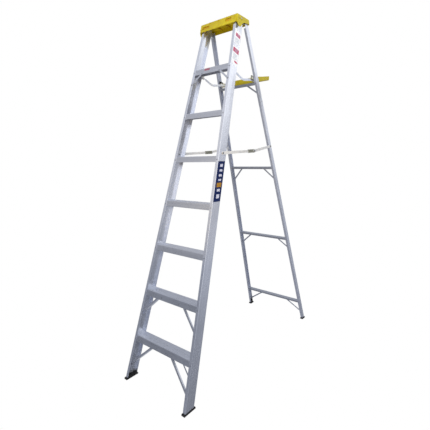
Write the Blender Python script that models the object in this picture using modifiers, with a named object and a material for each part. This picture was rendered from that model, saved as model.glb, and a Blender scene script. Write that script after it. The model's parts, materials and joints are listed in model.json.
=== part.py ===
"""Aluminium step ladder: a front frame with seven steps, a rear frame, folding spreaders and a tray.

X runs across the ladder, Y from front to rear, Z up. The origin is on the floor, below the middle
of the ladder. The ladder stands open, locked by its two spreaders.
"""

import math

import bmesh
import bpy
from mathutils import Matrix, Vector

# ---------------------------------------------------------------- driving dimensions (metres, degrees)

GAP = 0.0004  # clearance between pieces that touch

# Front frame: two channel rails, web outwards, that lean back and close in towards the top.
FRONT_Y = -0.651  # front face of the rails at the floor
FRONT_LEAN = 16.52
FRONT_HALF_WIDTH = 0.2989  # outside the webs at the floor
FRONT_TAPER = 0.0575  # half-width lost per metre of rail
FRONT_DEPTH = 0.0601
FRONT_FLANGE = 0.0222
FRONT_WALL = 0.0018
FRONT_TOP = 2.360

# Steps: channel treads, level, held between the flanges of the front rails.
STEP_COUNT = 7
FIRST_STEP = 0.2825  # height of the lowest tread
STEP_PITCH = 0.3048  # along the rail
TOP_STEP_RISE = 0.012  # how far the top step sits above the regular pitch
STEP_SKIRT = 0.0374
STEP_REAR_SKIRT = 0.0314
STEP_WALL = 0.0018

# Rear frame: lighter channel rails that hang from the hinge line inside the top cap.
HINGE_Y = 0.1311
HINGE_Z = 2.338
REAR_LEAN = 12.18
REAR_HALF_WIDTH = 0.1663  # outside the webs at the hinge line
REAR_TAPER = 0.0621
REAR_DEPTH = 0.0298
REAR_FLANGE = 0.0188
REAR_WALL = 0.0015
REAR_TOP = 2.351
REAR_NOTCH = 0.026  # the front flange stops this far below the hinge line
REAR_BARS = (0.166, 0.771, 1.362, 1.961)  # heights of the cross bars' lower front edges
REAR_BAR_HEIGHT = 0.0162
REAR_BAR_WALL = 0.0014

# Braces: angles under the lower steps, strips behind the lowest step, on the top step and under the bars.
STRIP_WIDTH = 0.012
STRIP_WALL = 0.002
ANGLE_WIDTH = 0.013
ANGLE_DEPTH = 0.018
KNEES = ((1, 0.103, 0.2989), (2, 0.1348, 0.2548))  # step, half-width at its skirt, half-width on the rail
KNEE_DROP = (0.160, 0.1056)  # height lost along each of them
REAR_KNEE_WIDTH = 0.009
TOP_KNEE_HIGH = (0.0790, 2.0150)
TOP_KNEE_LOW = (0.1745, 1.9430)
REAR_CORNERS = ((0.127, 0.292, 0.107), (0.140, 0.249, 0.080), (0.114, 0.198, 0.073), (0.086, 0.169, 0.057))

# Spreaders: flat bars outside the rails, jointed near the middle, locked just below the straight line.
SPREADER_FRONT = (-0.1846, 1.4700)  # pivot on the front rail
SPREADER_REAR = (0.3043, 1.5356)  # pivot on the rear rail
SPREADER_KNUCKLE = (0.1122, 1.4940)
SPREADER_HEIGHT = 0.018
SPREADER_WALL = 0.003
FRONT_LANE = 0.2121  # inner face of the front bar
REAR_LANE = 0.2187  # inner face of the rear bar
SLEEVE_BEHIND = 0.008
SLEEVE_AHEAD = 0.060
SLEEVE_WALL = 0.0016
SLEEVE_HEIGHT = 0.023

# Rivets and hinge hardware.
RIVET_SHANK = 0.003
RIVET_HEAD = 0.0068
RIVET_RISE = 0.0028
HINGE_BOLT_SHANK = 0.004
HINGE_BOLT_HEAD = 0.008
HINGE_BOLT_RISE = 0.0036
BRACKET_INNER = 0.1598
BRACKET_WALL = 0.0022
BRACKET_HALF_HEIGHT = 0.011
BRACKET_FRONT = (0.0800, 2.3380)
ROUND_SIDES = 12

# Top cap: a moulded shell, open below, with arches over the rails.
CAP_TOP = 2.370
CAP_BASE = 2.284  # the blank reaches down to here before its lower edge is trimmed
CAP_HALF_WIDTH = (0.1725, 0.1785)  # at the top, at the base
CAP_FRONT = (0.0388, 0.0210)
CAP_REAR = (0.1545, 0.1545)
CAP_WALL = 0.0028
CAP_EDGE = 0.006
CAP_SKIRT = 2.317
CAP_REAR_SKIRT = 2.337

# Tray behind the rear frame, on two bent flat links that hang on the top step.
TRAY_PIVOT = (0.018, 2.010)
TRAY_HALF_WIDTH = 0.1450
TRAY_FRONT = 0.238
TRAY_REAR = 0.408
TRAY_RIM = 2.0273  # height of the rim at the front
TRAY_RIM_SLOPE = 0.264
TRAY_DEPTH = 0.036
TRAY_FLOOR_SLOPE = 0.305
TRAY_WALL = 0.0025
LINK_X = (0.1480, 0.1512)
LINK_HALF = 0.0075
LINK_NECK = 0.0035  # half-width where the link passes behind the top step
LINK_BEND = (0.095, 1.976)
LINK_END = (0.268, 2.0148)
PIN_RADIUS = 0.003
LUG_X = (0.1545, 0.1565)
LUG_WIDTH = 0.018  # of the leg that lies on the rail
LUG_REACH = 0.0158  # of the leg that carries the link
LUG_WALL = 0.002
LUG_SPAN = (2.108, 2.140)  # along the rail
HANGER_X = (0.1528, 0.1552)

# Feet: rubber pads with a block that fills the end of the channel.
PAD_HEIGHT = 0.012
PAD_OVERHANG = 0.0045
PAD_TAIL = 0.011
PAD_SIDE = 0.002
REAR_PAD_SIDE = 0.004
FRONT_PLUG = 0.024
REAR_PLUG = 0.041

# ---------------------------------------------------------------- frames of reference

FRONT_ANGLE = math.radians(FRONT_LEAN)
REAR_ANGLE = math.radians(REAR_LEAN)
FRONT = Matrix.Translation((0, FRONT_Y, 0)) @ Matrix.Rotation(-FRONT_ANGLE, 4, "X")
REAR = Matrix.Translation((0, HINGE_Y, HINGE_Z)) @ Matrix.Rotation(REAR_ANGLE, 4, "X")
WORLD = Matrix.Identity(4)
ACROSS = Vector((1, 0, 0))
DEEP = Vector((0, 1, 0))
UP = Vector((0, 0, 1))

for old in list(bpy.data.objects):
    bpy.data.objects.remove(old, do_unlink=True)

parts = bpy.data.collections.new("step_ladder")
tools = bpy.data.collections.new("cutters")
bpy.context.scene.collection.children.link(parts)
bpy.context.scene.collection.children.link(tools)


def material(name, colour, roughness, metallic):
    """A plain Principled material."""
    made = bpy.data.materials.new(name)
    made.use_nodes = True
    shader = made.node_tree.nodes["Principled BSDF"]
    shader.inputs["Base Color"].default_value = (*colour, 1)
    shader.inputs["Roughness"].default_value = roughness
    shader.inputs["Metallic"].default_value = metallic
    return made


ALUMINIUM = material("aluminium", (0.70, 0.71, 0.75), 0.38, 1.0)
TREAD = material("tread_aluminium", (0.60, 0.62, 0.67), 0.45, 1.0)
STEEL = material("zinc_steel", (0.62, 0.62, 0.62), 0.35, 1.0)
SLEEVE = material("sleeve_plastic", (0.06, 0.065, 0.07), 0.55, 0.0)
YELLOW = material("yellow_plastic", (0.80, 0.62, 0.02), 0.42, 0.0)
RUBBER = material("black_rubber", (0.012, 0.012, 0.014), 0.8, 0.0)


def body(name, matrix):
    """An empty that carries the pieces of one rigid body."""
    empty = bpy.data.objects.new(name, None)
    parts.objects.link(empty)
    empty.matrix_local = matrix
    return empty


def at(point):
    """A matrix that moves the origin to a (Y, Z) point of the middle plane."""
    return Matrix.Translation((0, point[0], point[1]))


ladder = body("ladder_origin", WORLD)
front = body("front_frame", FRONT)
rear = body("rear_frame", REAR)


# ---------------------------------------------------------------- modelling helpers


def piece(name, bm, parent, look, smooth=False):
    """One named part, made from a bmesh in its parent's coordinates."""
    mesh = bpy.data.meshes.new(name)
    bm.to_mesh(mesh)
    bm.free()
    mesh.materials.append(look)
    if smooth:
        mesh.shade_smooth()
        mesh.set_sharp_from_angle(angle=math.radians(35))
    made = bpy.data.objects.new(name, mesh)
    made.parent = parent
    parts.objects.link(made)
    return made


def tool(name, bm, parent):
    """A hidden solid for a Boolean."""
    mesh = bpy.data.meshes.new(name)
    bm.to_mesh(mesh)
    bm.free()
    made = bpy.data.objects.new(name, mesh)
    made.parent = parent
    made.hide_render = True
    made.display_type = "WIRE"
    tools.objects.link(made)
    return made


def combine(target, other, operation):
    """A Boolean of one piece with a hidden solid."""
    step = target.modifiers.new(other.name, "BOOLEAN")
    step.operation = operation
    step.object = other


def slide(point, run, plane):
    """The point moved along run onto a plane, which is a (point, normal) pair."""
    spot, normal = plane
    return point + run * ((spot - point).dot(normal) / run.dot(normal))


def prism(outline, a_axis, b_axis, start, end):
    """An outline in two axes, swept across both and mitred by the planes start and end."""
    run = a_axis.cross(b_axis)
    bm = bmesh.new()
    corners = [slide(a * a_axis + b * b_axis, run, start) for a, b in outline]
    base = bm.faces.new([bm.verts.new(corner) for corner in corners])
    swept = bmesh.ops.extrude_face_region(bm, geom=[base])
    for item in swept["geom"]:
        if isinstance(item, bmesh.types.BMVert):
            item.co = slide(item.co, run, end)
    face_out(bm)
    return bm


def face_out(bm):
    """Turn every face of a closed body outwards."""
    bmesh.ops.recalc_face_normals(bm, faces=bm.faces)
    if bm.calc_volume(signed=True) < 0:
        bmesh.ops.reverse_faces(bm, faces=bm.faces)


def plate(outline, low, high):
    """A flat (Y, Z) outline between two X positions."""
    return prism(outline, DEEP, UP, (Vector((low, 0, 0)), ACROSS), (Vector((high, 0, 0)), ACROSS))


def arc(centre, radius, start, end, count):
    """Points along a circular arc, in degrees."""
    angles = [math.radians(start + (end - start) * i / (count - 1)) for i in range(count)]
    return [(centre[0] + radius * math.cos(a), centre[1] + radius * math.sin(a)) for a in angles]


def stadium(first, last, radius):
    """The outline of a bar with round ends about two points."""
    heading = math.degrees(math.atan2(last[1] - first[1], last[0] - first[0]))
    return (arc(last, radius, heading - 90, heading + 90, 9)
            + arc(first, radius, heading + 90, heading + 270, 9))


def relative(points, origin):
    """(Y, Z) points counted from another one."""
    return [(y - origin[0], z - origin[1]) for y, z in points]


def spun(profile, centre, side):
    """A turned solid about a line along X; the profile is (radius, distance outwards) pairs."""
    bm = bmesh.new()
    points = [bm.verts.new((side * x, centre[0] + radius, centre[1])) for radius, x in profile]
    edges = [bm.edges.new(pair) for pair in zip(points, points[1:])]
    bmesh.ops.spin(bm, geom=points + edges, cent=(0, *centre), axis=(1, 0, 0), dvec=(0, 0, 0),
                   angle=2 * math.pi, steps=ROUND_SIDES, use_merge=True, use_duplicate=False)
    bmesh.ops.remove_doubles(bm, verts=bm.verts, dist=1e-6)
    face_out(bm)
    return bm


def rivet(name, centre, side, grip, parent, look=STEEL, shank=RIVET_SHANK, head=RIVET_HEAD,
          rise=RIVET_RISE, tail=0.0022, tail_radius=0.0052):
    """A domed rivet along X that clamps what lies between the two distances in grip."""
    inner, outer = grip
    profile = [(0, outer + rise), (head * 0.55, outer + rise * 0.85), (head * 0.9, outer + rise * 0.45),
               (head, outer), (shank, outer), (shank, inner), (tail_radius, inner),
               (tail_radius, inner - tail), (0, inner - tail)]
    return piece(name, spun(profile, centre, side), parent, look, smooth=True)


def bore(target, centre, side, span, radius, parent):
    """A round hole along X through a piece."""
    low, high = span
    profile = [(0, high), (radius, high), (radius, low), (0, low)]
    combine(target, tool(target.name + "_bore", spun(profile, centre, side), parent), "DIFFERENCE")


def level(matrix, height):
    """The level plane at a height, in a frame's own coordinates."""
    back = matrix.inverted()
    return back @ Vector((0, 0, height)), back.to_3x3() @ UP


def web(side, half_width, taper, inset=0.0):
    """A plane parallel to a rail's outer face, in its frame's coordinates."""
    slope = math.atan(taper)
    normal = Vector((side * math.cos(slope), 0, math.sin(slope)))
    return Vector((side * half_width, 0, 0)) - inset * normal, normal


def channel(flange, near, far, wall):
    """The C outline of a rail: (distance in from the web's outer face, depth)."""
    return [(0, near), (flange, near), (flange, near + wall), (wall, near + wall),
            (wall, far - wall), (flange, far - wall), (flange, far), (0, far)]


def side_name(side):
    return "right" if side > 0 else "left"


# ---------------------------------------------------------------- rails


def rail(name, side, frame, parent, half_width, taper, outline, low, high):
    """A channel rail that follows the splay of its frame, cut level at both ends."""
    slope = math.atan(taper)
    inwards = Vector((-side * math.cos(slope), 0, -math.sin(slope)))
    origin = Vector((side * half_width, 0, 0))
    shift = Matrix.Translation(origin)
    bm = prism(outline, inwards, DEEP, tuple_shift(level(frame, low), origin),
               tuple_shift(level(frame, high), origin))
    bm.transform(shift)
    return piece(name, bm, parent, ALUMINIUM)


def tuple_shift(plane, origin):
    """A plane counted from another origin."""
    return plane[0] - origin, plane[1]


FRONT_SECTION = channel(FRONT_FLANGE, 0, FRONT_DEPTH, FRONT_WALL)
REAR_SECTION = channel(REAR_FLANGE, -REAR_DEPTH / 2, REAR_DEPTH / 2, REAR_WALL)
RAIL_FOOT = PAD_HEIGHT + GAP

front_rails = {}
rear_rails = {}
for side in (-1, 1):
    front_rails[side] = rail("front_rail_" + side_name(side), side, FRONT, front, FRONT_HALF_WIDTH,
                             FRONT_TAPER, FRONT_SECTION, RAIL_FOOT, FRONT_TOP)
    rear_rails[side] = rail("rear_rail_" + side_name(side), side, REAR, rear, REAR_HALF_WIDTH,
                            REAR_TAPER, REAR_SECTION, RAIL_FOOT, REAR_TOP)
    # The front flange of the rear rail is cut away beside the hinge, to clear the hinge bracket.
    notch_near = -REAR_DEPTH / 2 - 0.002
    notch_far = -REAR_DEPTH / 2 + REAR_WALL + 0.0002
    notch_in = side * (REAR_HALF_WIDTH - REAR_FLANGE - 0.010)
    notch_out = side * (REAR_HALF_WIDTH - REAR_WALL - 0.0004)
    notch = [(notch_near, -REAR_NOTCH), (notch_far, -REAR_NOTCH), (notch_far, 0.05), (notch_near, 0.05)]
    notch_solid = tool("notch_" + side_name(side), plate(notch, *sorted((notch_in, notch_out))), rear)
    combine(rear_rails[side], notch_solid, "DIFFERENCE")


# ---------------------------------------------------------------- steps and rear cross bars


def step_outline(height):
    """The tread and its two skirts, as (depth, distance up the rail)."""
    near = FRONT_WALL + GAP
    far = FRONT_DEPTH - FRONT_WALL - GAP
    skirt = STEP_SKIRT / math.cos(FRONT_ANGLE)
    rear_skirt = STEP_REAR_SKIRT / math.cos(FRONT_ANGLE)
    under = STEP_WALL / math.cos(FRONT_ANGLE)

    def tread(depth):
        return (height + depth * math.sin(FRONT_ANGLE)) / math.cos(FRONT_ANGLE)

    return [(near, tread(near)), (far, tread(far)), (far, tread(far) - rear_skirt),
            (far - STEP_WALL, tread(far) - rear_skirt), (far - STEP_WALL, tread(far - STEP_WALL) - under),
            (near + STEP_WALL, tread(near + STEP_WALL) - under), (near + STEP_WALL, tread(near) - skirt),
            (near, tread(near) - skirt)]


def step_height(number):
    rise = TOP_STEP_RISE if number == STEP_COUNT else 0
    return FIRST_STEP + (number - 1) * STEP_PITCH * math.cos(FRONT_ANGLE) + rise


for number in range(1, STEP_COUNT + 1):
    ends = [web(side, FRONT_HALF_WIDTH, FRONT_TAPER, FRONT_WALL + GAP) for side in (-1, 1)]
    solid = prism(step_outline(step_height(number)), DEEP, UP, *ends)
    piece("step_%d" % number, solid, front, TREAD)


def bar_base(height):
    """Distance along the rear rail of a cross bar's lower face, from the height of its front edge."""
    near = -REAR_DEPTH / 2 + REAR_WALL + GAP
    return (height - HINGE_Z - near * math.sin(REAR_ANGLE)) / math.cos(REAR_ANGLE)


def bar_outline(base):
    """A channel that is open below."""
    near = -REAR_DEPTH / 2 + REAR_WALL + GAP
    far = -near
    top = base + REAR_BAR_HEIGHT
    wall = REAR_BAR_WALL
    return [(near, top), (far, top), (far, base), (far - wall, base), (far - wall, top - wall),
            (near + wall, top - wall), (near + wall, base), (near, base)]


for number, height in enumerate(REAR_BARS, 1):
    ends = [web(side, REAR_HALF_WIDTH, REAR_TAPER, REAR_WALL + GAP) for side in (-1, 1)]
    piece("rear_bar_%d" % number, prism(bar_outline(bar_base(height)), DEEP, UP, *ends), rear, ALUMINIUM)


# ---------------------------------------------------------------- braces


def brace(name, side, high, low, outline, start, end, parent):
    """A brace along the line between two (half-width, distance up) points of a frame."""
    line = Vector((side * low[0], 0, low[1])) - Vector((side * high[0], 0, high[1]))
    line.normalize()
    inwards = DEEP.cross(line) * side
    origin = Vector((side * high[0], 0, high[1]))
    bm = prism(outline, inwards, DEEP, tuple_shift(start, origin), tuple_shift(end, origin))
    bm.transform(Matrix.Translation(origin))
    return piece(name, bm, parent, ALUMINIUM)


def angle_outline(face):
    """An angle whose flat leg lies at a depth and whose other leg stands off it towards the rear."""
    half = ANGLE_WIDTH / 2
    wall = STRIP_WALL
    return [(-half, face), (half, face), (half, face + ANGLE_DEPTH),
            (half - wall, face + ANGLE_DEPTH), (half - wall, face + wall),
            (-half, face + wall)]


def strip_outline(face, width=STRIP_WIDTH):
    half = width / 2
    return [(-half, face), (half, face), (half, face + STRIP_WALL), (-half, face + STRIP_WALL)]


def up_front(height, depth=0.0):
    """Distance up the front frame of a point at a height and depth."""
    return (height + depth * math.sin(FRONT_ANGLE)) / math.cos(FRONT_ANGLE)


KNEE_NEAR = FRONT_WALL + GAP + STEP_WALL + GAP
KNEE_FAR = FRONT_DEPTH - KNEE_NEAR

for (number, inner, outer), drop in zip(KNEES, KNEE_DROP):
    base = step_height(number) - STEP_SKIRT
    under = level(FRONT, step_height(number) - STEP_WALL - 2 * GAP)
    for side in (-1, 1):
        stop = web(side, FRONT_HALF_WIDTH, FRONT_TAPER, FRONT_WALL + GAP)
        high = (inner, up_front(base))
        low = (outer, up_front(base - drop))
        brace("step_%d_brace_front_%s" % (number, side_name(side)), side, high, low,
              angle_outline(KNEE_NEAR), under, stop, front)
        if number == 1:
            high = (inner, up_front(base, KNEE_FAR))
            low = (outer, up_front(base - drop, KNEE_FAR))
            brace("step_1_brace_rear_" + side_name(side), side, high, low,
                  strip_outline(KNEE_FAR - STRIP_WALL, REAR_KNEE_WIDTH), under, stop, front)

for side in (-1, 1):
    high = Vector((side * TOP_KNEE_HIGH[0], 0, up_front(TOP_KNEE_HIGH[1])))
    low = Vector((side * TOP_KNEE_LOW[0], 0, up_front(TOP_KNEE_LOW[1])))
    line = (low - high).normalized()
    brace("step_7_brace_" + side_name(side), side, (TOP_KNEE_HIGH[0], high.z), (TOP_KNEE_LOW[0], low.z),
          strip_outline(-GAP - STRIP_WALL), (high, line), (low, line), front)

for number, (height, (inner, outer, drop)) in enumerate(zip(REAR_BARS, REAR_CORNERS), 1):
    base = bar_base(height)
    ceiling = (Vector((0, 0, base + REAR_BAR_HEIGHT - REAR_BAR_WALL - GAP)), UP)
    face = REAR_DEPTH / 2 - REAR_WALL - GAP - REAR_BAR_WALL - GAP - STRIP_WALL
    for side in (-1, 1):
        stop = web(side, REAR_HALF_WIDTH, REAR_TAPER, REAR_WALL + GAP)
        brace("rear_brace_%d_%s" % (number, side_name(side)), side, (inner, base),
              (outer, base - drop / math.cos(REAR_ANGLE)), strip_outline(face), ceiling, stop, rear)


# ---------------------------------------------------------------- spreaders


def web_outer(height, frame_half_width, taper, lean, zero):
    """Half-width outside a web at a height."""
    return frame_half_width - taper * (height - zero) / math.cos(math.radians(lean))


for side in (-1, 1):
    tag = side_name(side)
    front_arm = body("spreader_front_" + tag + "_pivot", at(SPREADER_FRONT))
    rear_arm = body("spreader_rear_" + tag + "_pivot", at(SPREADER_REAR))
    front_lane = (FRONT_LANE, FRONT_LANE + SPREADER_WALL)
    rear_lane = (REAR_LANE, REAR_LANE + SPREADER_WALL)
    radius = SPREADER_HEIGHT / 2
    hole = RIVET_SHANK + GAP

    outline = relative(stadium(SPREADER_FRONT, SPREADER_KNUCKLE, radius), SPREADER_FRONT)
    bar = piece("spreader_front_" + tag, plate(outline, *sorted(side * x for x in front_lane)), front_arm,
                ALUMINIUM)
    bore(bar, (0, 0), side, (FRONT_LANE - 0.002, FRONT_LANE + 0.006), hole, front_arm)

    outline = relative(stadium(SPREADER_REAR, SPREADER_KNUCKLE, radius), SPREADER_REAR)
    bar = piece("spreader_rear_" + tag, plate(outline, *sorted(side * x for x in rear_lane)), rear_arm,
                ALUMINIUM)
    bore(bar, (0, 0), side, (REAR_LANE - 0.002, REAR_LANE + 0.006), hole, rear_arm)
    knuckle = relative([SPREADER_KNUCKLE], SPREADER_REAR)[0]
    knuckle_hole = tool("knuckle_hole_" + tag, spun([(0, 0.23), (hole, 0.23), (hole, 0.21), (0, 0.21)],
                                                    knuckle, side), rear_arm)
    combine(bar, knuckle_hole, "DIFFERENCE")

    # The sleeve is a flat tube around the front bar, at the joint.
    knuckle_front = relative([SPREADER_KNUCKLE], SPREADER_FRONT)[0]
    along = Vector((0, *knuckle_front)).normalized()
    across = ACROSS.cross(along)
    centre = Vector((0, *knuckle_front))
    start = (centre - SLEEVE_AHEAD * along, along)
    end = (centre + SLEEVE_BEHIND * along, along)
    half_in = radius + GAP
    half_out = SLEEVE_HEIGHT / 2
    low_in, high_in = sorted((side * (front_lane[0] - GAP), side * (front_lane[1] + GAP)))
    low_out = low_in - SLEEVE_WALL
    high_out = high_in + SLEEVE_WALL
    outer = [(low_out, -half_out), (high_out, -half_out), (high_out, half_out), (low_out, half_out)]
    inner = [(low_in, -half_in), (high_in, -half_in), (high_in, half_in), (low_in, half_in)]
    sleeve = piece("spreader_sleeve_" + tag, prism(outer, ACROSS, across, start, end), front_arm, SLEEVE)
    far_start = (start[0] - 0.01 * along, along)
    far_end = (end[0] + 0.01 * along, along)
    combine(sleeve, tool("sleeve_core_" + tag, prism(inner, ACROSS, across, far_start, far_end),
                         front_arm), "DIFFERENCE")

    # Rivets: two hold the bars to the rails, one carries the eye of the rear bar at the knuckle.
    slack = GAP + 0.0004
    grip = (web_outer(SPREADER_FRONT[1], FRONT_HALF_WIDTH, FRONT_TAPER, FRONT_LEAN, 0) - FRONT_WALL - slack,
            front_lane[1] + GAP)
    rivet("spreader_rivet_front_" + tag, SPREADER_FRONT, side, grip, ladder)
    bore_local = FRONT.inverted() @ Vector((0, *SPREADER_FRONT))
    bore_tool = tool("front_rail_bore_" + tag,
                     spun([(0, 0.23), (hole, 0.23), (hole, 0.19), (0, 0.19)], SPREADER_FRONT, side), ladder)
    combine(front_rails[side], bore_tool, "DIFFERENCE")

    rear_pivot = REAR.inverted() @ Vector((0, *SPREADER_REAR))
    centre_rear = (rear_pivot.y, rear_pivot.z)
    grip = (web_outer(SPREADER_REAR[1], REAR_HALF_WIDTH, REAR_TAPER, REAR_LEAN, HINGE_Z) - REAR_WALL - slack,
            rear_lane[1] + GAP)
    rivet("spreader_rivet_rear_" + tag, centre_rear, side, grip, rear)
    bore_tool = tool("rear_rail_bore_" + tag,
                     spun([(0, 0.23), (hole, 0.23), (hole, 0.20), (0, 0.20)], centre_rear, side), rear)
    combine(rear_rails[side], bore_tool, "DIFFERENCE")
    rivet("spreader_knuckle_" + tag, knuckle, side, (rear_lane[0] - GAP, rear_lane[1] + GAP), rear_arm,
          tail=0.0006, tail_radius=0.0045)


# ---------------------------------------------------------------- hinge at the top of the rails

HINGE = (HINGE_Y, HINGE_Z)
bolt_hole = HINGE_BOLT_SHANK + GAP

for side in (-1, 1):
    tag = side_name(side)
    span = sorted((side * BRACKET_INNER, side * (BRACKET_INNER + BRACKET_WALL)))
    bracket = piece("hinge_bracket_" + tag, plate(stadium(BRACKET_FRONT, HINGE, BRACKET_HALF_HEIGHT), *span),
                    ladder, STEEL)
    bore(bracket, HINGE, side, (BRACKET_INNER - 0.003, BRACKET_INNER + 0.006), bolt_hole, ladder)
    bolt_tool = tool("hinge_bore_" + tag,
                     spun([(0, 0.18), (bolt_hole, 0.18), (bolt_hole, 0.155), (0, 0.155)], (0, 0), side), rear)
    combine(rear_rails[side], bolt_tool, "DIFFERENCE")
    grip = (BRACKET_INNER - GAP, REAR_HALF_WIDTH + 0.0010)
    rivet("hinge_bolt_" + tag, HINGE, side, grip, ladder, shank=HINGE_BOLT_SHANK, head=HINGE_BOLT_HEAD,
          rise=HINGE_BOLT_RISE, tail=0.0045, tail_radius=0.0072)


# ---------------------------------------------------------------- top cap


def cap_blank():
    """A tapered box, open below, with rounded upper edges and corners."""
    bm = bmesh.new()
    bmesh.ops.create_cube(bm, size=2.0)
    for vert in bm.verts:
        row = 0 if vert.co.z > 0 else 1
        vert.co.x = math.copysign(CAP_HALF_WIDTH[row], vert.co.x)
        vert.co.y = CAP_FRONT[row] if vert.co.y < 0 else CAP_REAR[row]
        vert.co.z = CAP_TOP if row == 0 else CAP_BASE
    floor = [face for face in bm.faces if face.normal.z < -0.9]
    bmesh.ops.delete(bm, geom=floor, context="FACES_ONLY")
    edges = [edge for edge in bm.edges if len(edge.link_faces) == 2]
    bmesh.ops.bevel(bm, geom=edges, offset=CAP_EDGE, segments=3, profile=0.5, affect="EDGES")
    return bm


cap = piece("top_cap", cap_blank(), ladder, YELLOW, smooth=True)
shell = cap.modifiers.new("shell", "SOLIDIFY")
shell.thickness = CAP_WALL
shell.offset = -1
shell.use_even_offset = True

tab = [(0.0335, 2.3020), (0.0400, 2.2940), (0.0490, 2.2900), (0.0570, 2.2920), (0.0650, 2.2990),
       (0.0740, 2.3100), (0.0820, 2.3200), (0.0900, 2.3265), (0.1000, 2.3310), (0.1150, 2.3335)]
trim = ([(-0.02, 2.25), (-0.02, CAP_SKIRT), (0.0300, CAP_SKIRT)] + tab
        + [(0.1370, CAP_REAR_SKIRT), (0.18, CAP_REAR_SKIRT), (0.18, 2.25)])
combine(cap, tool("cap_trim", plate(trim, -0.2, 0.2), ladder), "DIFFERENCE")


# ---------------------------------------------------------------- tray and its links

tray_body = body("tray_pivot", at(TRAY_PIVOT))


def tray_point(y, drop=0.0, floor=False):
    """A (Y, Z) point of the tray's rim or floor, counted from the tray's pivot."""
    rim = TRAY_RIM + TRAY_RIM_SLOPE * (y - TRAY_FRONT)
    base = TRAY_RIM - TRAY_DEPTH + TRAY_FLOOR_SLOPE * (y - TRAY_FRONT)
    return y - TRAY_PIVOT[0], (base if floor else rim) - drop - TRAY_PIVOT[1]


def tray_blank():
    """The pan's outside as an open surface: a floor that rises towards the rear, and four walls."""
    outline = [tray_point(TRAY_FRONT + 0.003, floor=True), tray_point(TRAY_REAR - 0.003, floor=True),
               tray_point(TRAY_REAR), tray_point(TRAY_FRONT)]
    bm = plate(outline, -TRAY_HALF_WIDTH, TRAY_HALF_WIDTH)
    bm.faces.ensure_lookup_table()
    lid = max(bm.faces, key=lambda face: face.normal.z)
    bmesh.ops.delete(bm, geom=[lid], context="FACES_ONLY")
    edges = [edge for edge in bm.edges if len(edge.link_faces) == 2]
    bmesh.ops.bevel(bm, geom=edges, offset=0.004, segments=2, profile=0.5, affect="EDGES")
    return bm


tray = piece("tray", tray_blank(), tray_body, YELLOW, smooth=True)
shell = tray.modifiers.new("shell", "SOLIDIFY")
shell.thickness = TRAY_WALL
shell.offset = -1
shell.use_even_offset = True


def strip_along(points, widths):
    """The outline of a flat bar along (Y, Z) points, with its half-width at each of them."""
    left, right = [], []
    for index, (point, half) in enumerate(zip(points, widths)):
        before, after = points[max(index - 1, 0)], points[min(index + 1, len(points) - 1)]
        run = (after - before).normalized()
        aside = half * Vector((-run.y, run.x))
        left.append(tuple(point + aside))
        right.append(tuple(point - aside))
    return left + right[::-1]


def rounded(first, corner, last, radius, count=5):
    """Points of a smooth bend at a corner, by a quadratic blend between its two sides."""
    start = corner + (first - corner).normalized() * radius
    end = corner + (last - corner).normalized() * radius
    steps = [i / (count - 1) for i in range(count)]
    return [start * (1 - t) ** 2 + corner * (2 * t * (1 - t)) + end * t ** 2 for t in steps]


for side in (-1, 1):
    tag = side_name(side)
    start = Vector((0, 0))
    bend, tail = [Vector(point) for point in relative([LINK_BEND, LINK_END], TRAY_PIVOT)]
    first = (bend - start).normalized()
    route = [start - 0.0035 * first, start + 0.008 * first, start + 0.028 * first]
    route += rounded(start, bend, tail, 0.020) + [tail]
    widths = [LINK_NECK, LINK_NECK] + [LINK_HALF] * (len(route) - 2)
    link = piece("tray_link_" + tag, plate(strip_along(route, widths), *sorted(side * x for x in LINK_X)),
                 tray_body, STEEL)
    pin = [(0, LUG_X[1] + 0.0035), (PIN_RADIUS, LUG_X[1] + 0.0035), (PIN_RADIUS, LINK_X[0] + 0.001), (0, LINK_X[0] + 0.001)]
    combine(link, tool(link.name + "_pin", spun(pin, TRAY_PIVOT, side), ladder), "UNION")

    # An angle lug on the back of the front rail carries the pin of the link.
    back = FRONT_DEPTH + GAP
    lug = [(LUG_X[0], back), (LUG_X[0] + LUG_WIDTH, back), (LUG_X[0] + LUG_WIDTH, back + LUG_WALL),
           (LUG_X[1], back + LUG_WALL), (LUG_X[1], back + LUG_REACH), (LUG_X[0], back + LUG_REACH)]
    low, high = [(Vector((0, 0, height)), UP) for height in LUG_SPAN]
    lug_piece = piece("tray_lug_" + tag, prism(lug, side * ACROSS, DEEP, low, high), front, STEEL)
    bore(lug_piece, TRAY_PIVOT, side, (LUG_X[0] - 0.002, LUG_X[1] + 0.002), PIN_RADIUS + GAP, ladder)

    # A hanger plate outside each link rests on the uppermost cross bar.
    hanger = [(0.1850, 1.9960), (0.1870, 1.9840), (0.2190, 1.9880), (0.2420, 1.9960), (0.2620, 2.0080),
              (0.2600, 2.0200), (0.2420, 2.0220), (0.2200, 2.0180), (0.1870, 2.0120)]
    piece("tray_hanger_" + tag, plate(relative(hanger, TRAY_PIVOT), *sorted(side * x for x in HANGER_X)),
          tray_body, STEEL)


# ---------------------------------------------------------------- feet


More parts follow.
